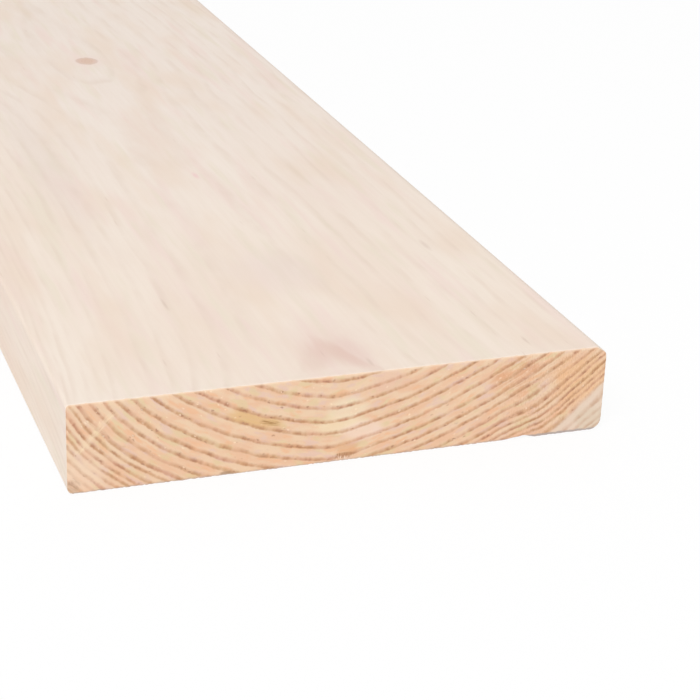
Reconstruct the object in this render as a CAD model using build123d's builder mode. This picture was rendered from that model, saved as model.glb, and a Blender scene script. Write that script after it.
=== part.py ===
from build123d import *
import os

# A planed softwood plank: one length of timber, sawn square at both ends, lying on a wide face.
# X runs across the width, Y along the grain and Z up. The origin is the middle of the underside,
# and the near end, the one with the chip, is at minus Y.
width = 228.0
thickness = 38.0
length = 2400.0

# The four long edges were eased when the board was planed, and no two came out alike.
top_left_radius = 1.5
bottom_left_radius = 2.5
bottom_right_radius = 5.0
top_right_bevel_width = 4.4
top_right_bevel_height = 3.0
bevel_edge_radius = 2.0

# A splinter broke out of the underside's edge where the saw left the near end.
chip_from_right = 30.5
chip_width = 15.0
chip_height = 1.3
chip_steep_side = 4.7
chip_depth = 9.0


def corners_near(x, y, count=1):
    """The section's own corners that lie nearest to one corner of its full rectangle."""
    return section.vertices().sort_by_distance((x, y))[:count]


with BuildPart() as plank:
    # The section that the planer leaves, drawn across the grain at mid length.
    with BuildSketch(Plane.XZ) as section:
        with BuildLine():
            Polyline(
                (-width / 2, 0),
                (width / 2, 0),
                (width / 2, thickness - top_right_bevel_height),
                (width / 2 - top_right_bevel_width, thickness),
                (-width / 2, thickness),
                close=True,
            )
        make_face()
        fillet(corners_near(-width / 2, thickness), radius=top_left_radius)
        fillet(corners_near(-width / 2, 0), radius=bottom_left_radius)
        fillet(corners_near(width / 2, 0), radius=bottom_right_radius)
        fillet(corners_near(width / 2, thickness, count=2), radius=bevel_edge_radius)
    extrude(amount=length / 2, both=True)

    # The chip: widest at the sawn face, and run out to nothing along the grain.
    chip_right = width / 2 - chip_from_right
    chip_peak = chip_right - chip_steep_side
    with BuildSketch(Plane.XZ.offset(length / 2)) as chip_mouth:
        with BuildLine():
            Polyline(
                (chip_right - chip_width, 0),
                (chip_peak, chip_height),
                (chip_right, 0),
                close=True,
            )
        make_face()
    chip_end = Vertex(chip_peak, chip_depth - length / 2, 0)
    loft(sections=[chip_mouth.sketch, chip_end], mode=Mode.SUBTRACT)

plank.part.label = "plank"

os.makedirs("parts", exist_ok=True)
export_step(plank.part, "parts/plank.step")
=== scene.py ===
import math

import bpy
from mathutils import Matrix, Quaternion, Vector


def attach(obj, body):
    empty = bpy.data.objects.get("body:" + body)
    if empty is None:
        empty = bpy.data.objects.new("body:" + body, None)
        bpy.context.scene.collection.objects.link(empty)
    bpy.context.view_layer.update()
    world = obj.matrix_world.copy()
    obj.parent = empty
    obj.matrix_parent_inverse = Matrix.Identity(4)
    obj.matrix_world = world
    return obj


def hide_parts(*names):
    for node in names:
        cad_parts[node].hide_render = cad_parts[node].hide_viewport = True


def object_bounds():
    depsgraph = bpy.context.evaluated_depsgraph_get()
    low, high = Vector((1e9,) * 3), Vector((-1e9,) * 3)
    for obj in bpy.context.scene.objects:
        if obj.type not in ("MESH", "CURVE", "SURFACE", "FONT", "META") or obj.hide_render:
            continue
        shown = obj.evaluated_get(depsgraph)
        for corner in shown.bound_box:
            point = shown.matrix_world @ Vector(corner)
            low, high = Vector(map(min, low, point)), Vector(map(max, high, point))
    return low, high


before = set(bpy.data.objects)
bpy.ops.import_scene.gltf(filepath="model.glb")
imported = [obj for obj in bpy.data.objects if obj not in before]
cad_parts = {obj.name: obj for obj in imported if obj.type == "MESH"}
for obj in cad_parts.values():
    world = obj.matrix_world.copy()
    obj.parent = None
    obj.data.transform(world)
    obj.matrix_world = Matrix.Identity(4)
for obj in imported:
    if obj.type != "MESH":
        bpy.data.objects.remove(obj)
cad_low, cad_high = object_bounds()

# The log the plank was sawn from: fast-grown pine, with its heart above the top face, so that the
# growth rings sag across the sawn ends and run as long arches down the faces. Every surface below
# is a cut through this one body of rings, whose sizes are in millimetres.
MM = 0.001
near_end = cad_low.y
thickness = cad_high.z - cad_low.z

# The heart's height over the underside and its drift across, by distance from the near end.
heart_up_along = (
    (0, 130.2), (41, 133.6), (86, 135), (155, 136.3), (300, 137), (370, 136.3), (430, 133.2),
    (500, 131), (760, 136), (1085, 132), (1350, 137), (1620, 133), (1900, 137), (2400, 133),
)
heart_across_along = (
    (0, 0), (41, 1.7), (155, 5), (300, 5.5), (400, 1), (450, -1.5), (700, -6), (1000, -2),
    (1400, 7), (1900, 2), (2400, -5),
)

# How far the innermost ring is from the heart, and the widths of the yearly rings outwards from it.
innermost_ring = 78.0
ring_widths = (
    5.9, 5.9, 6.0, 6.0, 4.8, 5.9, 4.9, 5.8, 5.2, 4.6, 4.1, 4.5, 4.2, 2.6, 3.0, 2.6, 2.2, 2.5, 3.1,
    2.9, 3.0, 2.1, 2.1, 2.9, 3.5, 2.7, 3.0, 2.5, 3.1, 2.6, 2.9, 2.4, 3.0, 2.7,
)

# How far the rings lie inwards of a true circle, by degrees either side of straight down: one graph
# for the young wood near the heart and one for the old wood outside it, which has a sharp kink. In
# between, by distance from the heart, the one passes into the other.
kink_bearing = -3
young_wood = (
    (-75, 6), (-52, 2.5), (-38, 1.4), (-30, 1.8), (-15, 1.2), (-5, 0.7), (0, 1.0), (5, 1.9),
    (15, 3.2), (26, 4.4), (38, 2.4), (52, -2.7), (75, -12),
)
old_wood = (
    (-75, 10), (-52, 2.9), (-38, -2.2), (-24, -2.6), (kink_bearing, -1.2), (0, 0.7), (8, 5.7),
    (15, 7.5), (22, 8.3), (30, 7.6), (45, 1.5), (52, -2.6), (75, -14),
)
young_reach = 95.0
old_reach = 170.0

# Either side of the kink all but the innermost rings also peak outwards a little, by degrees and
# millimetres. Here and below, a pair of reaches or bearings is where a crook starts and is in full.
kink_half_width = 11.0
kink_peak = 0.6
kink_reaches = (97.0, 105.0)

# In the old wood low on the right the rings sag outwards and then draw in again, and the outermost
# are wider there.
right_sag = (
    (20, 0), (27, 0.2), (30, 0.5), (33, 1.6), (35.7, 2.4), (38, 1.9), (42, 0.2), (46, -0.9), (52, -2),
)
sag_bearings = (20.0, 27.0)
sag_reaches = (137.0, 150.0)
wider_bearings = (28.0, 34.0)
wider_reaches = (157.0, 168.0)
wider_by = 3.3

# Waves that run along the grain, slow ones and quick ones: how wide and how long one wave is, how
# high it is at the near end, how much higher further in, and how far in that is.
waves = ((45, 260, 0.6, 4.0, 300.0), (8, 55, 1.5, 0.9, 50.0))

# A sawn end frays into tufts this wide, which run back this far along the grain.
tuft_width = 1.2
tuft_length = 30

# Summer wood darkens over this many millimetres, or over half of a narrow ring, is at its darkest
# just short of the line where the year ends, and the next spring wood pales this soon after it.
summer_build_up = 1.7
summer_darkest = 0.1
spring_start = 0.8

# Knots: place across and along the top face, radius there, and how far they push the rings out.
# The push fades over a distance across and along, and a knot is longer along the grain than wide.
knots = ((2, 484, 6, 2.5), (41, 1085, 5, 6), (-57, 1620, 7.5, 8), (16, 2140, 4.5, 6))
knot_push_across = 20.0
knot_push_along = 46.0
knot_squeeze = 0.7


def feed(part, socket):
    """Sets a socket to a plain value, or links it to what carries a varying one."""
    if isinstance(part, Measure):
        socket.id_data.links.new(part.socket, socket)
    else:
        socket.default_value = part


def add(tree, kind, feeds, **settings):
    """Adds one node to a tree, sets it up, and feeds the inputs named by label or by number."""
    node = tree.nodes.new(kind)
    for setting, value in settings.items():
        setattr(node, setting, value)
    for label, part in feeds.items():
        feed(part, node.inputs[label])
    return node


def result(tree, kind, feeds, **settings):
    """Adds one node, and gives what comes out of it first."""
    return Measure(add(tree, kind, feeds, **settings).outputs[0])


class Measure:
    """A number, place or colour that varies through the wood. Sums with it become nodes."""

    def __init__(self, socket):
        self.socket = socket
        self.tree = socket.id_data

    def work(self, operation, *others):
        feeds = dict(enumerate((self, *others)))
        return result(self.tree, "ShaderNodeMath", feeds, operation=operation)

    def __add__(self, other):
        return self.work("ADD", other)

    def __sub__(self, other):
        return self.work("SUBTRACT", other)

    def __mul__(self, other):
        return self.work("MULTIPLY", other)

    def __truediv__(self, other):
        return self.work("DIVIDE", other)

    def __pow__(self, other):
        return self.work("POWER", other)

    def __neg__(self):
        return self.work("MULTIPLY", -1.0)

    def __abs__(self):
        return self.work("ABSOLUTE")

    def __rsub__(self, other):
        return self.work("MULTIPLY_ADD", -1.0, other)

    __radd__ = __add__
    __rmul__ = __mul__

    def rise(self, low, high, way="SMOOTHSTEP"):
        """0 at low and below, 1 at high and above, with a smooth rise between."""
        feeds = {0: self, 1: low, 2: high}
        return result(self.tree, "ShaderNodeMapRange", feeds, interpolation_type=way)

    def graph(self, points, corners=()):
        """Reads this off a smooth graph through the points, left to right, sharp at its corners."""
        left, right = points[0][0], points[-1][0]
        bottom = min(point[1] for point in points)
        height = max(point[1] for point in points) - bottom
        node = add(self.tree, "ShaderNodeFloatCurve", {1: (self - left) / (right - left)})
        line = node.mapping.curves[0].points
        while len(line) < len(points):
            line.new(0.5, 0.5)
        for spot, point in zip(line, points):
            spot.location = ((point[0] - left) / (right - left), (point[1] - bottom) / height)
            spot.handle_type = "VECTOR" if point[0] in corners else "AUTO"
        node.mapping.update()
        return Measure(node.outputs[0]) * height + bottom


def far(one_way, other_way):
    """How far off a place is that lies so far one way and so far square to it."""
    return (one_way * one_way + other_way * other_way).work("SQRT")


def together(operation, measures):
    """Works several measures into one, such as the least or the greatest of them."""
    first, *others = measures
    for other in others:
        first = first.work(operation, other)
    return first


def split(place):
    """The three parts of a place, in metres."""
    return [Measure(part) for part in add(place.tree, "ShaderNodeSeparateXYZ", {0: place}).outputs]


def place_of(across, along, height):
    """Puts three parts together into one place."""
    return result(across.tree, "ShaderNodeCombineXYZ", {0: across, 1: along, 2: height})


def cloud(place, fineness=2.0, roughness=0.5):
    """Soft uneven variation between 0 and 1, whose patches are about one unit of the place wide."""
    feeds = {"Vector": place, "Scale": 1.0, "Detail": fineness, "Roughness": roughness}
    return result(place.tree, "ShaderNodeTexNoise", feeds)


def grain(rings, wide, long, shift=0.0, fineness=2.0, roughness=0.5):
    """Variation in patches so wide across the grain and so long along it, in millimetres."""
    across = rings["across"] / wide + shift
    place = place_of(across, rings["along"] / long, rings["height"] / wide)
    return cloud(place, fineness, roughness)


def straighten(reach, bearing):
    """Takes the crooks out of a distance from the heart, so that it is one all along each ring."""
    age = reach.rise(young_reach, old_reach, "LINEAR")
    inwards = bearing.graph(young_wood) * (1 - age)
    reach = reach + inwards + bearing.graph(old_wood, corners=(kink_bearing,)) * age
    peak = (1 - abs(bearing - kink_bearing) / kink_half_width).work("MAXIMUM", 0.0)
    reach = reach - peak * reach.rise(*kink_reaches) * kink_peak
    sag = bearing.rise(*sag_bearings) * bearing.graph(right_sag) * reach.rise(*sag_reaches)
    wider = bearing.rise(*wider_bearings) * reach.rise(*wider_reaches) * wider_by
    return reach - sag - wider


def growth_rings(place, frayed=0.0):
    """The log at one place: its ring's number, how dark its summer wood is, and the knots."""
    across, along, height = [part / MM for part in split(place)]
    along = along - near_end / MM
    rings = {"across": across, "along": along, "height": height}

    heart_across = along.graph(heart_across_along)
    heart_up = along.graph(heart_up_along)
    out = across - heart_across
    down = heart_up - height
    bearing = out.work("ARCTAN2", down).work("DEGREES")
    reach = straighten(far(out, down), bearing)
    for wide, long, height_at_end, gain, gain_by in waves:
        wave = grain(rings, wide, long) - 0.5
        reach = reach + wave * (along.rise(0.0, gain_by) * gain + height_at_end)
    if frayed:
        tufts = grain(rings, tuft_width, tuft_length, roughness=0.6) - 0.5
        reach = reach + tufts * frayed

    # A knot is the foot of a branch, so it runs out from the heart and widens as it goes.
    spread = down / (heart_up - thickness / MM)
    radii_off = []
    for knot_across, knot_along, radius, push in knots:
        aside = out - (knot_across - heart_across) * spread
        ahead = along - knot_along
        near = (aside / knot_push_across) ** 2 + (ahead / knot_push_along) ** 2
        reach = reach - (-near).work("EXPONENT") * push
        off = (aside * aside + ahead * ahead * knot_squeeze).work("SQRT")
        radii_off.append(off / (spread * radius))

    edges = [innermost_ring]
    for ring_width in ring_widths:
        edges.append(edges[-1] + ring_width)
    number = reach.graph([(edge, count) for count, edge in enumerate(edges)], corners=edges)
    ring_width = reach.graph([(edge + wide / 2, wide) for edge, wide in zip(edges, ring_widths)])
    since_line = number.work("FRACT") * ring_width
    until_line = ring_width - since_line
    build_up = (ring_width * 0.5).work("MINIMUM", summer_build_up)
    darkening = until_line.rise(build_up, summer_darkest)
    rings["number"] = number
    rings["line"] = (number + 0.5).work("FLOOR")
    rings["dark"] = darkening.work("MAXIMUM", since_line.rise(spring_start, 0.0))
    rings["reach"] = reach
    rings["bearing"] = bearing
    rings["knot"] = together("MINIMUM", radii_off)
    return rings


# The plank: one length of that log, sawn flat, planed on its four long faces, its long edges eased
# each to its own size, and cut square at both ends by a saw that left faint marks across the grain.
width = cad_high.x - cad_low.x
length = cad_high.y - cad_low.y

plank_sizes = {
    "Width": width,
    "Thickness": thickness,
    "Length": length,
    "Top left round": 1.5 * MM,
    "Bottom left round": 2.5 * MM,
    "Bottom right round": 5.0 * MM,
    "Top right bevel width": 4.4 * MM,
    "Top right bevel height": 3.0 * MM,
    "Bevel edge round": 2.0 * MM,
    "Chip peak": 78.8 * MM,
    "Chip run left": 10.3 * MM,
    "Chip run right": 4.7 * MM,
    "Chip height": 1.3 * MM,
    "Chip depth": 9.0 * MM,
    "Saw mark depth": 0.09 * MM,
    "Saw mark spacing": 2.6 * MM,
    "Proud summer wood": 0.1 * MM,
    "Edge wear": 0.25 * MM,
    "Worn top arris": 0.75 * MM,
    "Ragged underside": 0.45 * MM,
}


def paint(red, green, blue):
    """A colour given in the 0 to 255 steps that a screen shows."""
    steps = [part / 255 for part in (red, green, blue)]
    return (*[s / 12.92 if s <= 0.04045 else ((s + 0.055) / 1.055) ** 2.4 for s in steps], 1.0)


def tint(share, under, over):
    """Lays one colour over another by a share from 0 to 1."""
    feeds = {0: share, 6: under, 7: over}
    return Measure(add(share.tree, "ShaderNodeMix", feeds, data_type="RGBA").outputs[2])


def lay_over(colour, *coats):
    """Lays coats over a colour in turn, each given by where it shows, its strength and its tone."""
    for where, strength, tone in coats:
        colour = tint(where * strength, colour, tone)
    return colour


def chance(number):
    """A fixed random share from 0 to 1 for each whole number."""
    return result(number.tree, "ShaderNodeTexWhiteNoise", {"W": number}, noise_dimensions="1D")


def cells(place):
    """Cells scattered one to a unit: how far off the nearest is, and three random shares for it."""
    feeds = {"Vector": place, "Scale": 1.0, "Randomness": 1.0}
    node = add(place.tree, "ShaderNodeTexVoronoi", feeds)
    return Measure(node.outputs["Distance"]), split(Measure(node.outputs["Color"]))


def start_group(name, inputs, outputs):
    """A shader node group with its sockets, and its inputs ready to work with."""
    group = bpy.data.node_groups.new(name, "ShaderNodeTree")
    for label, kind in inputs.items():
        group.interface.new_socket(label, in_out="INPUT", socket_type=kind)
    for label, kind in outputs.items():
        group.interface.new_socket(label, in_out="OUTPUT", socket_type=kind)
    taken = group.nodes.new("NodeGroupInput").outputs
    given = group.nodes.new("NodeGroupOutput").inputs
    return group, {label: Measure(taken[label]) for label in inputs}, given


def use_group(tree, group, feeds):
    """Places a group in a tree, feeds it, and gives its outputs to work with."""
    node = add(tree, "ShaderNodeGroup", feeds, node_tree=group)
    return {socket.name: Measure(socket) for socket in node.outputs}


def stain(rings, way, centre, size, rag):
    """How far a place is from a stain's centre, in stain sizes across and one other way."""
    across = (rings["across"] - centre[0]) / size[0]
    other = (rings[way] - centre[1]) / size[1]
    return far(across, other) + (rings["mottle"] - 0.5) * rag * 2


def patch(rings, centre, size, rag=0.35):
    """A soft-edged stain on the near end, by its centre and half sizes across and up."""
    return stain(rings, "height", centre, size, rag).rise(1.15, 0.55) * rings["near"]


def clusters(rings, spots):
    """Patches on the near end added up, each by its centre, half sizes and strength."""
    return sum(patch(rings, centre, size) * strength for centre, size, strength in spots)


def ring_cloud(rings, through, turn, fineness=2.0, roughness=0.5):
    """Variation that follows the rings, by a measure through them and in patches of some degrees."""
    return cloud(place_of(through, rings["bearing"] / turn, rings["far along"]), fineness, roughness)


def scratch(rings, start, finish, half_width):
    """A band of fine straight scratches on the near end from one place to another."""
    strand_width = 0.3
    strand_length = 5
    run = math.dist(start, finish)
    run_across = (finish[0] - start[0]) / run
    run_up = (finish[1] - start[1]) / run
    across = rings["across"] - start[0]
    height = rings["height"] - start[1]
    travelled = across * run_across + height * run_up
    aside = across * run_up - height * run_across
    place = place_of(aside / strand_width, travelled / strand_length, rings["far along"])
    strands = cloud(place, fineness=1.0).rise(0.36, 0.56)
    ends = travelled.rise(-1.0, 2.0) * travelled.rise(run + 1.0, run - 2.0)
    band = abs(aside).rise(half_width * 1.6, half_width * 0.3)
    return band * strands * ends * rings["near"]


FLOAT = "NodeSocketFloat"
VECTOR = "NodeSocketVector"
COLOUR = "NodeSocketColor"

# The end grain as the saw left it: spring wood in peach, cream and grey patches that follow the
# rings, summer lines that come and go, resin ducts, torn specks, stains, a bruise and a scorch.
sawn_end, inside, given = start_group(
    "sawn_end",
    {"Place": VECTOR, "Spring wood": COLOUR, "Pale spring wood": COLOUR, "Summer wood": COLOUR},
    {"Colour": COLOUR, "Roughness": FLOAT, "Height": FLOAT},
)

# Its rings fray, and its pattern changes so slowly along the grain that only the two ends differ.
# Its stains are on the near end alone: in full this close to it, and gone this far from it.
end_fraying = 0.8
pattern_length = 200
full_at_near_end = 4.0
gone_from_near_end = 30.0
rings = growth_rings(inside["Place"], end_fraying)
across, along, height = rings["across"], rings["along"], rings["height"]
reach, line = rings["reach"], rings["line"]
near = along.rise(gone_from_near_end, full_at_near_end)
far_along = along / pattern_length
rings["near"] = near
rings["far along"] = far_along

# Spring wood: three mottles a few millimetres deep and a few degrees long, and paler years.
rose_grey = paint(225, 193, 176)
straw = paint(221, 199, 156)
peach = paint(232, 181, 142)
mottle = ring_cloud(rings, reach / 4.0, 6, roughness=0.55)
second_mottle = ring_cloud(rings, reach / 3.2 + 60, 4.5, roughness=0.55)
third_mottle = ring_cloud(rings, reach / 4.5 + 130, 5, fineness=1.0)
rings["mottle"] = mottle
year = chance(rings["number"].work("FLOOR") + 40)
pale_share = (mottle + year * 0.2).rise(0.42, 0.72)
colour = tint(pale_share, inside["Spring wood"], inside["Pale spring wood"])
colour = lay_over(
    colour,
    (second_mottle.rise(0.53, 0.68), 0.85, rose_grey),
    (third_mottle.rise(0.55, 0.68), 0.65, straw),
    (second_mottle.rise(0.46, 0.32), 0.65, peach),
)

# Broad changes of tone over the face: honey and rust on the right, cream and rose in the middle, a
# painted highlight along the left edge, sapwood below a slanting line at the lower right, and a band
# soaked with resin.
honey = paint(231, 184, 137)
rust = paint(214, 155, 114)
pale_straw = paint(237, 219, 184)
pale_rose = paint(238, 213, 195)
cream = paint(235, 219, 190)
dusky_rose = paint(227, 189, 166)
highlight_cream = paint(236, 211, 186)
sapwood_cream = paint(226, 206, 188)
corner_grey = paint(212, 197, 173)
amber = paint(220, 181, 126)
sapwood_across = 0.673
sapwood_down = 0.739
sapwood_from = 60.2
ringwise = ring_cloud(rings, reach / 1.3 + 20, 7, roughness=0.6)
ruddy = patch(rings, (74, 28.5), (12, 9), 0.25) * ringwise.rise(0.36, 0.6)
# Painted highlight: the end pales towards its upper left edge.
left_highlight = (across + width / MM / 2).rise(22.0, 2.0) * height.rise(30.0, 8.0) * near
sapwood_depth = across * sapwood_across - height * sapwood_down - sapwood_from
sapwood = sapwood_depth.rise(-1.5, 1.5) * near
resin = patch(rings, (-38, 24), (15, 8), 0.2) * reach.rise(111.9, 113.3) * reach.rise(118.4, 116.8)
resin = resin * (ringwise * 0.7 + second_mottle * 0.7 + 0.1)
colour = lay_over(
    colour,
    (patch(rings, (104, 24), (16, 13)), 0.6, honey),
    (ruddy, 0.6, rust),
    (patch(rings, (-3, 16), (12, 4)), 0.7, pale_straw),
    (patch(rings, (7, 13), (10, 5)), 0.7, pale_rose),
    (patch(rings, (0, 23), (10, 6)), 0.6, cream),
    (patch(rings, (17, 33), (8, 6)), 0.6, dusky_rose),
    (left_highlight, 0.4, highlight_cream),
    (sapwood, 0.9, sapwood_cream),
    (patch(rings, (109, 5), (8, 7)), 0.45, corner_grey),
    (resin, 0.95, amber),
)

# Summer wood: each line has its own strength and redness, and fades and darkens along its length.
red_brown = paint(200, 147, 118)
deep_brown = paint(166, 115, 84)
faintest_line = 0.14
along_line = ring_cloud(rings, line * 3.7, 2.2, roughness=0.6)
finer_along = ring_cloud(rings, line * 5.3, 1.3, roughness=0.6)
strength = chance(line) * 0.28 + along_line.rise(0.28, 0.66) * 0.6 + finer_along * 0.22 + 0.07
strength = strength.work("MAXIMUM", faintest_line).work("MINIMUM", 1.0)
redness = ring_cloud(rings, line * 2.9 + 17, 5, fineness=1.0).rise(0.42, 0.65)
darkest = along_line.rise(0.5, 0.7) * (finer_along.rise(0.38, 0.6) * 0.7 + 0.3)
summer = tint(redness, inside["Summer wood"], red_brown)
summer = tint(darkest * 0.8, summer, deep_brown)
# Summer lines show less in the sapwood and under the painted highlight at the left edge.
dark = rings["dark"] * strength * (1 - sapwood * 0.45) * (1 - left_highlight * 0.3)
colour = tint(dark, colour, summer)

# Fine fuzz: the saw lifts fibres into short ticks that stand nearly upright, dark ones and pale
# ones, most of them on the right and fewest in the sapwood.
tick_brown = paint(194, 148, 114)
tick_cream = paint(250, 222, 192)
tick_width = 0.55
tick_height = 1.6
tick_place = place_of(across / tick_width, far_along * 6, height / tick_height)
ticks = cloud(tick_place, roughness=0.65) - 0.5
lifted = ticks * ((across.rise(50.0, 80.0) * 0.7 + 0.4) * (1 - sapwood * 0.5))
colour = lay_over(
    colour,
    (lifted.rise(0.02, 0.3), 0.6, tick_brown),
    ((-lifted).rise(0.02, 0.3), 0.45, tick_cream),
)

# Resin ducts and torn cells: specks crowd on and beside the lines, dark holes and pale flecks, in
# clusters. A speck is a share of its cell wide, and a cell is about 1 mm by 1 degree.
hole_brown = paint(158, 108, 84)
fleck_cream = paint(252, 230, 202)
dark_clusters = (((78, 33), (7, 4), 1), ((-82, 22), (7, 4), 1), ((-46, 31), (6, 3), 1))
pale_clusters = (
    ((0, 23), (7, 6), 1), ((42, 30), (8, 7), 1), ((86, 33), (9, 4), 1), ((-103, 24), (9, 12), 1),
    ((-60, 30), (14, 6), 0.6),
)
cell_depth = 1.15
cell_turn = 0.95
smallest_speck = 0.16
speck_gain = 0.2
through = reach / cell_depth + (finer_along - 0.5) * 1.6
speck_off, speck_pick = cells(place_of(through, rings["bearing"] / cell_turn, far_along))
speck_off = speck_off + (mottle - 0.5) * 0.3 + ticks * 0.25
speck_size = speck_pick[2] * speck_gain + smallest_speck
crowded = cloud(place_of(across / 11 + 30, far_along, height / 6), roughness=0.6).rise(0.4, 0.7)
dark_chance = speck_pick[0] + crowded * 0.16 + rings["dark"] * 0.4
dark_chance = dark_chance + clusters(rings, dark_clusters) * 0.3 - sapwood * 0.6
pale_chance = speck_pick[1] + crowded * 0.3 + clusters(rings, pale_clusters) * 0.38 - sapwood * 0.3
hole = speck_off.rise(speck_size * 1.5, speck_size * 0.45) * dark_chance.rise(0.98, 1.16)
fleck = speck_off.rise(speck_size * 1.1, speck_size * 0.3) * pale_chance.rise(0.9, 1.08)
colour = lay_over(colour, (hole, 0.62, hole_brown), (fleck, 0.5, fleck_cream))

# Resin seeps dark at one place in its band, the saw bruised the lower left corner and scorched the
# middle of the bottom, where pale fibres stand in the scorch, and it dragged splinters over the
# upper left corner. Each dragged band runs from one place to another, so wide and so strong.
dark_resin = paint(166, 124, 72)
corner_cream = paint(240, 214, 190)
bruised = paint(178, 146, 120)
singed = paint(214, 160, 112)
scorched = paint(168, 118, 76)
greyed = paint(162, 130, 102)
charred = paint(158, 108, 70)
fibre_white = paint(246, 226, 206)
splinter_cream = paint(240, 216, 181)
dragged_bands = (
    ((-95.4, 33.0), (-110.3, 16.5), 1.2, 1.0),
    ((-100, 30.2), (-106.5, 18.5), 0.8, 0.8),
    ((-106.5, 30.5), (-98.5, 23.5), 0.8, 0.7),
)
seep = scratch(rings, (-36.5, 21.6), (-28.5, 19.6), 0.9)
streaks = ring_cloud(rings, reach / 0.8, 3, roughness=0.6)
bruise = patch(rings, (-112, 3.2), (3.2, 3.2), 0.6) * streaks.rise(0.3, 0.62)
fibres = cloud(place_of(across / 0.5, far_along, height / 2.4), roughness=0.6)
scorch = patch(rings, (-1.5, 2.4), (5.5, 1.4), 0.6) * fibres.rise(0.42, 0.66)
bared = patch(rings, (-1.5, 0.9), (3.5, 1.5), 0.5) * fibres.rise(0.5, 0.36)
drag = together("MAXIMUM", [scratch(rings, *band) * share for *band, share in dragged_bands])
colour = lay_over(
    colour,
    (seep, 0.9, dark_resin),
    (patch(rings, (-107, 8), (9, 7)), 0.3, corner_cream),
    (bruise, 0.7, bruised),
    (patch(rings, (0, 5.5), (6, 3.4), 0.5), 0.45, singed),
    (patch(rings, (-0.5, 2.9), (5, 0.9), 0.6), 0.5, scorched),
    (patch(rings, (-50.5, 0.9), (3.0, 1.1), 0.6), 0.65, greyed),
    (scorch, 0.8, charred),
    (bared, 0.8, fibre_white),
    (drag, 0.7, splinter_cream),
)

# The top arris is rubbed pale and carries a painted highlight, and a painted grey shade lies along the
# ragged lower arris, up to half a millimetre higher on the right.
worn_highlight_cream = paint(241, 216, 190)
shade_grey = paint(176, 164, 160)
# Wear and painted highlight: a pale band along the top arris.
worn_highlight = (height + (mottle - 0.5) * 0.7).rise(37.0, 37.7)
# Painted shade: a grey line along the lower arris, where the underside turns away into shadow.
arris_shade = (height - across.rise(72.0, 82.0) * 0.5 + (finer_along - 0.5) * 1.4).rise(0.9, 0.2)
arris_shade = arris_shade * (across.rise(70.0, 84.0) * 0.4 + 0.5)
colour = lay_over(colour, (worn_highlight, 0.6, worn_highlight_cream), (arris_shade, 1.0, shade_grey))

feed(colour, given["Colour"])
feed(streaks * 0.12 + 0.78 - rings["dark"] * 0.08, given["Roughness"])
feed(ticks * 0.9 + 0.5, given["Height"])


# The planed faces: cream wood on which the same rings show as a soft, broken figure, with streaks
# of slightly different tone along the grain, a few stains and marks, and the knots.
planed_face, inside, given = start_group(
    "planed_face",
    {"Place": VECTOR, "Cream": COLOUR, "Pale cream": COLOUR, "Figure": COLOUR, "Blush": COLOUR},
    {"Colour": COLOUR, "Roughness": FLOAT, "Height": FLOAT},
)
rings = growth_rings(inside["Place"])
across, along, height = rings["across"], rings["along"], rings["height"]
rings["mottle"] = grain(rings, 6, 22, roughness=0.6)
rings["top"] = height.rise(30.0, 36.0)


def blot(rings, centre, size, rag=0.3):
    """A stain that fades right out on the top face, by its centre and half sizes across and along."""
    return stain(rings, "along", centre, size, rag).rise(1.5, 0.15) * rings["top"]


# Streaks along the grain in cooler, pinker, greener and warmer cream, and the figure of the rings.
cool_cream = paint(241, 229, 220)
green_cream = paint(234, 222, 202)
warm_cream = paint(236, 215, 196)
drift = grain(rings, 38, 170)
cooler = along.rise(60.0, 420.0) * across.rise(-95.0, -45.0)
pinker = grain(rings, 11, 95, shift=7, roughness=0.55)
greener = grain(rings, 8, 80, shift=31, roughness=0.55)
streak = grain(rings, 2.2, 45, fineness=3.0, roughness=0.6)
warmer = grain(rings, 22, 80, shift=60)
broken_place = place_of(rings["line"] * 3.7, along / 38, rings["bearing"] / 9)
broken = cloud(broken_place, roughness=0.6).rise(0.36, 0.7)
figure = rings["dark"] * (chance(rings["line"]) * 0.2 + broken * 0.8)
colour = tint(drift.rise(0.3, 0.7), inside["Cream"], inside["Pale cream"])
colour = lay_over(
    colour,
    (cooler, 0.6, cool_cream),
    (pinker.rise(0.5, 0.72), 0.7, inside["Blush"]),
    (greener.rise(0.52, 0.72), 0.6, green_cream),
    (streak.rise(0.35, 0.75), 0.12, inside["Figure"]),
    (warmer.rise(0.45, 0.75), 0.6, warm_cream),
    (figure, 0.34, inside["Figure"]),
)

# Stains on the top face, from the near end onwards. The third only reddens the rings' figure.
colour = lay_over(
    colour,
    (blot(rings, (2, 30), (20, 30)), 0.45, paint(233, 209, 197)),
    (blot(rings, (9, 24), (7, 20), 0.5), 0.45, paint(227, 195, 186)),
    (blot(rings, (3, 24), (16, 30)) * rings["dark"], 0.42, paint(220, 182, 167)),
    (blot(rings, (6, 115), (19, 28)), 0.35, paint(232, 211, 206)),
    (blot(rings, (0, 312), (13, 60), 0.6), 0.45, paint(235, 213, 197)),
    (blot(rings, (15, 375), (5, 36), 0.4), 0.35, paint(235, 213, 197)),
    (blot(rings, (-64, 290), (11, 120), 0.7), 0.25, paint(224, 207, 197)),
    (blot(rings, (7.4, 256), (1.4, 5)), 0.5, paint(236, 190, 190)),
)

# Small dark nicks, each by its place and half sizes across and along.
nick_brown = paint(196, 168, 152)
nicks = ((83, 14.7, 0.8, 4), (12.3, 9.6, 0.9, 4), (84.3, 132, 1.4, 7), (-52, 90, 0.7, 6))
colour = lay_over(colour, *[(blot(rings, nick[:2], nick[2:]), 0.3, nick_brown) for nick in nicks])

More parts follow.
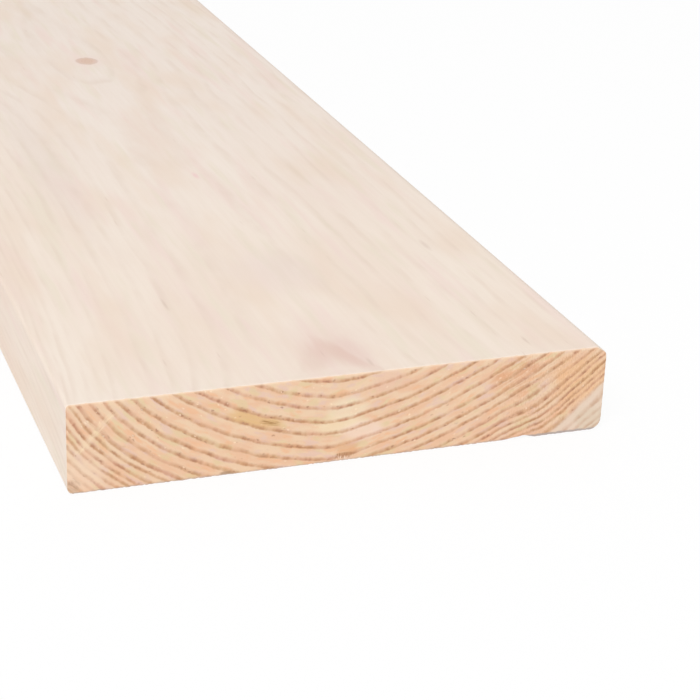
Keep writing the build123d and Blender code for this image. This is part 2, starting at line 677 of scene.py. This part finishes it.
# Knots: rings of their own, a darker rim, and wood that is flushed around them. Distances from a
# knot are in its radii.
heart_tan = paint(224, 190, 168)
heart_brown = paint(212, 172, 147)
rim_brown = paint(190, 145, 120)
knot = rings["knot"]
own_rings = (knot * 3.5 + streak * 1.5).work("FRACT").graph(((0, 0), (0.7, 1), (1, 0)))
heartwood = tint(own_rings, heart_tan, heart_brown)
uneven = streak - 0.5
colour = lay_over(
    colour,
    (knot.rise(2.6, 0.9), 0.5, inside["Blush"]),
    ((knot + uneven * 0.5).rise(1.25, 0.6), 0.7, heartwood),
    (abs(knot + uneven * 0.3 - 1.0).rise(0.25, 0.02), 0.25, rim_brown),
)

# Fine dark dashes are resin ducts cut along their length, and pores are finer still.
dash_brown = paint(190, 158, 138)
dash_place = place_of(across / 3.2, along / 26, height / 3.2)
dash_off, dash_pick = cells(dash_place)
dash = dash_off.rise(0.2, 0.05) * (dash_pick[0] + rings["dark"] * 0.25).rise(0.95, 1.1)
pores = grain(rings, 0.35, 9, roughness=0.65)
colour = lay_over(
    colour,
    (dash, 0.16, dash_brown),
    ((pores - 0.5).rise(0.0, 0.35), 0.06, inside["Figure"]),
)

feed(colour, given["Colour"])
feed(pores * 0.12 + 0.6 - rings["dark"] * 0.06, given["Roughness"])
feed(pores * 0.5 + streak * 0.5, given["Height"])


# Bare pine: what faces along the grain shows the end grain, and the rest shows the planed faces.
relief_depth = 0.12 * MM
relief_strength = 0.35


def start_material(name):
    """A material with an empty board, and its output node."""
    material = bpy.data.materials.new(name)
    material.use_nodes = True
    tree = material.node_tree
    tree.nodes.clear()
    return material, tree, tree.nodes.new("ShaderNodeOutputMaterial")


def between(share, one, other):
    """Passes from one measure to another by a share from 0 to 1."""
    return one * (1 - share) + other * share


pine, tree, output = start_material("pine")
where = add(tree, "ShaderNodeTexCoord", {}).outputs
facing = split(Measure(where["Normal"]))
is_end = abs(facing[1]).rise(0.72, 0.82)
end = use_group(
    tree,
    sawn_end,
    {
        "Place": Measure(where["Object"]),
        "Spring wood": paint(229, 188, 156),
        "Pale spring wood": paint(231, 201, 170),
        "Summer wood": paint(190, 141, 100),
    },
)
face = use_group(
    tree,
    planed_face,
    {
        "Place": Measure(where["Object"]),
        "Cream": paint(240, 223, 208),
        "Pale cream": paint(243, 229, 215),
        "Figure": paint(222, 200, 182),
        "Blush": paint(240, 218, 208),
    },
)
relief = result(
    tree,
    "ShaderNodeBump",
    {
        "Strength": relief_strength,
        "Distance": relief_depth,
        "Height": between(is_end, face["Height"], end["Height"]),
    },
)
wood = result(
    tree,
    "ShaderNodeBsdfPrincipled",
    {
        "Base Color": tint(is_end, face["Colour"], end["Colour"]),
        "Roughness": between(is_end, face["Roughness"], end["Roughness"]),
        "Normal": relief,
    },
)
feed(wood, output.inputs["Surface"])

# The board's blank: a block two units each way, whose columns of vertices crowd towards the eased
# edges, and whose stations along the grain crowd towards the ends.
columns = 321
stations = 81
rows = 49
column_crowding = 0.03
station_crowding = 0.005


def start_tree(name, sizes, material_label):
    """A Geometry Nodes tree with a named input for each size and one for its material."""
    tree = bpy.data.node_groups.new(name, "GeometryNodeTree")
    tree.interface.new_socket("Geometry", in_out="INPUT", socket_type="NodeSocketGeometry")
    tree.interface.new_socket("Geometry", in_out="OUTPUT", socket_type="NodeSocketGeometry")
    for label in sizes:
        tree.interface.new_socket(label, in_out="INPUT", socket_type=FLOAT)
    tree.interface.new_socket(material_label, in_out="INPUT", socket_type="NodeSocketMaterial")
    taken = tree.nodes.new("NodeGroupInput").outputs
    given = tree.nodes.new("NodeGroupOutput").inputs[0]
    return tree, {label: Measure(taken[label]) for label in (*sizes, material_label)}, given


def end_tree(shape, material, given):
    """Closes a tree: real geometry for every copy, and the piece's material on it."""
    real = result(shape.tree, "GeometryNodeRealizeInstances", {"Geometry": shape})
    feeds = {"Geometry": real, "Material": material}
    feed(result(shape.tree, "GeometryNodeSetMaterial", feeds), given)


def make_piece(name, tree, settings):
    """Runs a tree once and leaves what it makes as a plain mesh on a new piece."""
    piece = bpy.data.objects.new(name, bpy.data.meshes.new(name))
    bpy.context.scene.collection.objects.link(piece)
    modifier = piece.modifiers.new(name, "NODES")
    modifier.node_group = tree
    for socket in tree.interface.items_tree:
        if socket.name in settings:
            modifier[socket.identifier] = settings[socket.name]
    bpy.context.view_layer.update()
    made = piece.evaluated_get(bpy.context.evaluated_depsgraph_get())
    mesh = bpy.data.meshes.new_from_object(made)
    piece.modifiers.remove(modifier)
    piece.data = mesh
    mesh.name = name
    return piece


def rounding(distance, radius):
    """How far a rounded edge has dropped at a distance in from the face beside it."""
    inward = (radius - distance).work("MAXIMUM", 0.0)
    return radius - (radius * radius - inward * inward).work("SQRT")


def fading(distance, scale):
    """1 at no distance off, and about a third as much with each scale further."""
    return (distance * (-1.0 / scale)).work("EXPONENT")


board_tree, size, given = start_tree("sawn_board", plank_sizes, "Pine")
blank = result(
    board_tree,
    "GeometryNodeMeshCube",
    {"Size": (2.0, 2.0, 2.0), "Vertices X": columns, "Vertices Y": stations, "Vertices Z": rows},
)
across, along, up = split(result(board_tree, "GeometryNodeInputPosition", {}))
half_width = size["Width"] / 2
half_length = size["Length"] / 2
inward = 1 - abs(across)
inward = (inward * inward + column_crowding**2).work("SQRT") - column_crowding
from_side = inward / (math.sqrt(1 + column_crowding**2) - column_crowding) * half_width
board_across = across.work("SIGN") * (half_width - from_side)
inward = 1 - abs(along)
from_end = inward * (inward * inward + station_crowding) / (1 + station_crowding) * half_length
from_left = board_across + half_width
from_right = half_width - board_across
from_near = from_end + along.rise(-0.5, 0.5) * half_length

# The section: three rounded edges, and a bevel whose own two edges are rubbed round. Its upper edge
# eases into the top face over a share of that round. At the ends the top arris is worn unevenly.
ease_share = 0.3
wear_spacing = 7
bevel_across = size["Top right bevel width"]
bevel_down = size["Top right bevel height"]
bevel_round = size["Bevel edge round"]
slope = bevel_down / bevel_across
lean = slope.work("ARCTANGENT")
bevel_drop = (bevel_down - from_right * slope).work("SMOOTH_MAX", 0.0, bevel_round * ease_share)
turned = from_right.work("MINIMUM", bevel_round * (1 - lean.work("SINE")))
turned_in = bevel_round - turned
turn_drop = bevel_round * (math.radians(45) - lean / 2).work("TANGENT") + slope * turned
turn_drop = turn_drop - (bevel_round * bevel_round - turned_in * turned_in).work("SQRT")
arris_wear = cloud(place_of(board_across / MM / wear_spacing, 0.0, 3.0)) + 0.5
arris_drop = rounding(from_end, arris_wear * size["Worn top arris"])
top_drop = rounding(from_left, size["Top left round"]) + bevel_drop + turn_drop + arris_drop
lift = rounding(from_left, size["Bottom left round"]) + rounding(from_right, size["Bottom right round"])

# The chip in the underside's edge, and the ragged line where the saw came out along it. The chip's
# edge is uneven by a share of its height and closes in the last part of its depth. Only the highest
# of the roughness tears, and that fades inwards from the end.
chip_unevenness = 0.35
chip_closes_from = 0.8
torn_above = 0.42
torn_gain = 3.0
torn_fade = 0.9 * MM
rough_place = place_of(board_across / MM / 1.6, from_end / MM / 2.5, up * 3)
rough = cloud(rough_place, fineness=3.0, roughness=0.6)
off_peak = board_across - size["Chip peak"]
chip_fall = (off_peak / size["Chip run right"]).work("MAXIMUM", -off_peak / size["Chip run left"])
chip = 1 - from_near / size["Chip depth"] - chip_fall + (rough - 0.5) * chip_unevenness
chip = (chip * size["Chip height"]).work("MAXIMUM", 0.0)
chip = chip * from_near.rise(size["Chip depth"], size["Chip depth"] * chip_closes_from)
torn = (rough - torn_above).work("MAXIMUM", 0.0) * torn_gain * size["Ragged underside"]
lift = lift + chip.work("MAXIMUM", torn * fading(from_end, torn_fade))
board_up = lift + (size["Thickness"] - top_drop - lift) * (up + 1) / 2

# The sawn faces: slanting saw marks that waver, summer wood standing a little proud, and worn
# edges. What is sunk into them fades inwards from the end.
mark_slant = 0.35
mark_waver = 0.6 * MM
least_wear = 0.1
rim_from = 0.97
sunk_fade = 0.6 * MM
wood_place = place_of(board_across, along.work("SIGN") * half_length, board_up)
proud = growth_rings(wood_place)["dark"]
slant = board_across * mark_slant + board_up + (rough - 0.5) * mark_waver
marks = (slant / size["Saw mark spacing"] * math.tau).work("SINE") * 0.5 + 0.5
rim = abs(up).work("MAXIMUM", abs(across)).rise(rim_from, 1.0)
sunk = marks * size["Saw mark depth"] + (1 - proud) * size["Proud summer wood"]
sunk = sunk + rim * (rough + least_wear) * size["Edge wear"]
board_along = along.work("SIGN") * (half_length - from_end - sunk * fading(from_end, sunk_fade))

# The map for baking: both ends in a band at the top, each about as high for its width as the sawn
# face is, and the four long faces in strips below, with a margin between them all.
margin = 0.004
end_share = 0.167
normal = result(board_tree, "GeometryNodeInputNormal", {})
flat = result(
    board_tree,
    "GeometryNodeFieldOnDomain",
    {0: normal},
    data_type="FLOAT_VECTOR",
    domain="FACE",
)
side_way, end_way, top_way = split(flat)
end_band = (1 - 4 * margin) * end_share
long_band = 1 - 2 * end_band - 8 * margin
face_strip = long_band * width / (2 * (width + thickness))
edge_strip = long_band * thickness / (2 * (width + thickness))
on_end = abs(end_way).work("GREATER_THAN", 0.5)
on_far = end_way.work("GREATER_THAN", 0.5)
map_across = 0.5 + board_across / size["Width"] * (1 - 2 * margin)
map_along = 0.5 + board_along / size["Length"] * (1 - 2 * margin)
map_up = board_up / size["Thickness"] * end_band + (1 - margin - end_band)
map_up = map_up - on_far * (end_band + margin)
across_share = (across + 1) / 2
up_share = (up + 1) / 2
map_round = 0.0
strip_start = margin
for on_strip, share, strip in (
    (top_way.work("GREATER_THAN", 0.5), across_share, face_strip),
    (side_way.work("GREATER_THAN", 0.5), up_share, edge_strip),
    (top_way.work("LESS_THAN", -0.5), across_share, face_strip),
    (side_way.work("LESS_THAN", -0.5), up_share, edge_strip),
):
    map_round = map_round + on_strip * (share * strip + strip_start)
    strip_start += strip + margin
map_place = place_of(
    between(on_end, map_along, map_across),
    between(on_end, map_round, map_up),
    0.0,
)
mapped = result(
    board_tree,
    "GeometryNodeStoreNamedAttribute",
    {"Geometry": blank, "Name": "OFBake", "Value": map_place},
    data_type="FLOAT2",
    domain="CORNER",
)

# The blank takes its shape, smooth but for edges that turn by more than this many degrees.
crisp_turn = 40
board_place = place_of(board_across, board_along, board_up)
shaped = result(
    board_tree,
    "GeometryNodeSetPosition",
    {"Geometry": mapped, "Position": board_place},
)
smooth = result(
    board_tree,
    "GeometryNodeSetShadeSmooth",
    {"Geometry": shaped, "Shade Smooth": True},
)
turn = result(board_tree, "GeometryNodeInputMeshEdgeAngle", {})
is_crisp = turn.work("GREATER_THAN", math.radians(crisp_turn))
crisp = result(
    board_tree,
    "GeometryNodeSetShadeSmooth",
    {"Geometry": smooth, "Selection": is_crisp, "Shade Smooth": False},
    domain="EDGE",
)
end_tree(crisp, size["Pine"], given)

plank = make_piece("sawn_plank", board_tree, {**plank_sizes, "Pine": pine})
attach(plank, "root")
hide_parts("plank")

# The place it is shown in: a plain white floor that runs out of sight, a soft white sky, one broad
# lamp above and to the front, and the camera low in front of the plank and to its left.
# The floor lies just under the plank, is seen as nearly plain white, and is clear from below.
floor_reach = 60.0
floor_drop = 0.02 * MM
floor_white = (0.95, 0.95, 0.95, 1)
floor_glow = 0.88
white = (1, 1, 1, 1)
floor_mesh = bpy.data.meshes.new("floor")
corners = [(-floor_reach, -floor_reach, 0), (floor_reach, -floor_reach, 0)]
corners += [(floor_reach, floor_reach, 0), (-floor_reach, floor_reach, 0)]
floor_mesh.from_pydata(corners, [], [(0, 1, 2, 3)])
floor = bpy.data.objects.new("floor", floor_mesh)
bpy.context.scene.collection.objects.link(floor)
floor.location.z = -floor_drop

white_floor, tree, output = start_material("white_floor")
ray = add(tree, "ShaderNodeLightPath", {}).outputs
seen_by = ("Is Camera Ray", "Is Glossy Ray", "Is Transmission Ray")
seen = together("MAXIMUM", [Measure(ray[label]) for label in seen_by])
matt = result(tree, "ShaderNodeBsdfPrincipled", {"Base Color": floor_white, "Roughness": 0.9})
glow = result(tree, "ShaderNodeEmission", {"Color": white, "Strength": 1.0})
clear = result(tree, "ShaderNodeBsdfTransparent", {})
whitened = result(tree, "ShaderNodeMixShader", {0: seen * floor_glow, 1: matt, 2: glow})
underneath = Measure(add(tree, "ShaderNodeNewGeometry", {}).outputs["Backfacing"])
shown = result(tree, "ShaderNodeMixShader", {0: underneath, 1: whitened, 2: clear})
feed(shown, output.inputs["Surface"])
floor_mesh.materials.append(white_floor)

sky_light = 0.72
world = bpy.data.worlds.new("white_sky")
bpy.context.scene.world = world
world.use_nodes = True
tree = world.node_tree
tree.nodes.clear()
ray = add(tree, "ShaderNodeLightPath", {}).outputs
sky_strength = Measure(ray["Is Camera Ray"]) * (1 - sky_light) + sky_light
sky = result(tree, "ShaderNodeBackground", {"Color": white, "Strength": sky_strength})
feed(sky, tree.nodes.new("ShaderNodeOutputWorld").inputs[0])

lamp_width = 3.0
lamp_power = 90.0
lamp_place = Vector((-1.6, -3.6, 3.4))
lamp_target = Vector((0, -0.8, 0))
lamp_data = bpy.data.lights.new("soft_lamp", "AREA")
lamp_data.shape = "DISK"
lamp_data.size = lamp_width
lamp_data.energy = lamp_power
lamp = bpy.data.objects.new("soft_lamp", lamp_data)
bpy.context.scene.collection.objects.link(lamp)
lamp.location = lamp_place
lamp.rotation_euler = (lamp_target - lamp_place).to_track_quat("-Z", "Y").to_euler()

# The camera stands where the photograph was taken from, with the lens and the roll that fit it.
camera_lens = 101.6
picture_width = 36.0
camera_place = (-0.2504, -1.8721, 0.3559)
camera_aim = Vector((0.3208, 0.8614, -0.3939))
camera_roll = Quaternion((0, 0, 1), math.radians(2.294))
camera_data = bpy.data.cameras.new("camera")
camera_data.lens = camera_lens
camera_data.sensor_width = picture_width
camera = bpy.data.objects.new("camera", camera_data)
bpy.context.scene.collection.objects.link(camera)
bpy.context.scene.camera = camera
camera.location = camera_place
camera.rotation_euler = (camera_aim.to_track_quat("-Z", "Y") @ camera_roll).to_euler()

bpy.context.scene.view_settings.view_transform = "Standard"
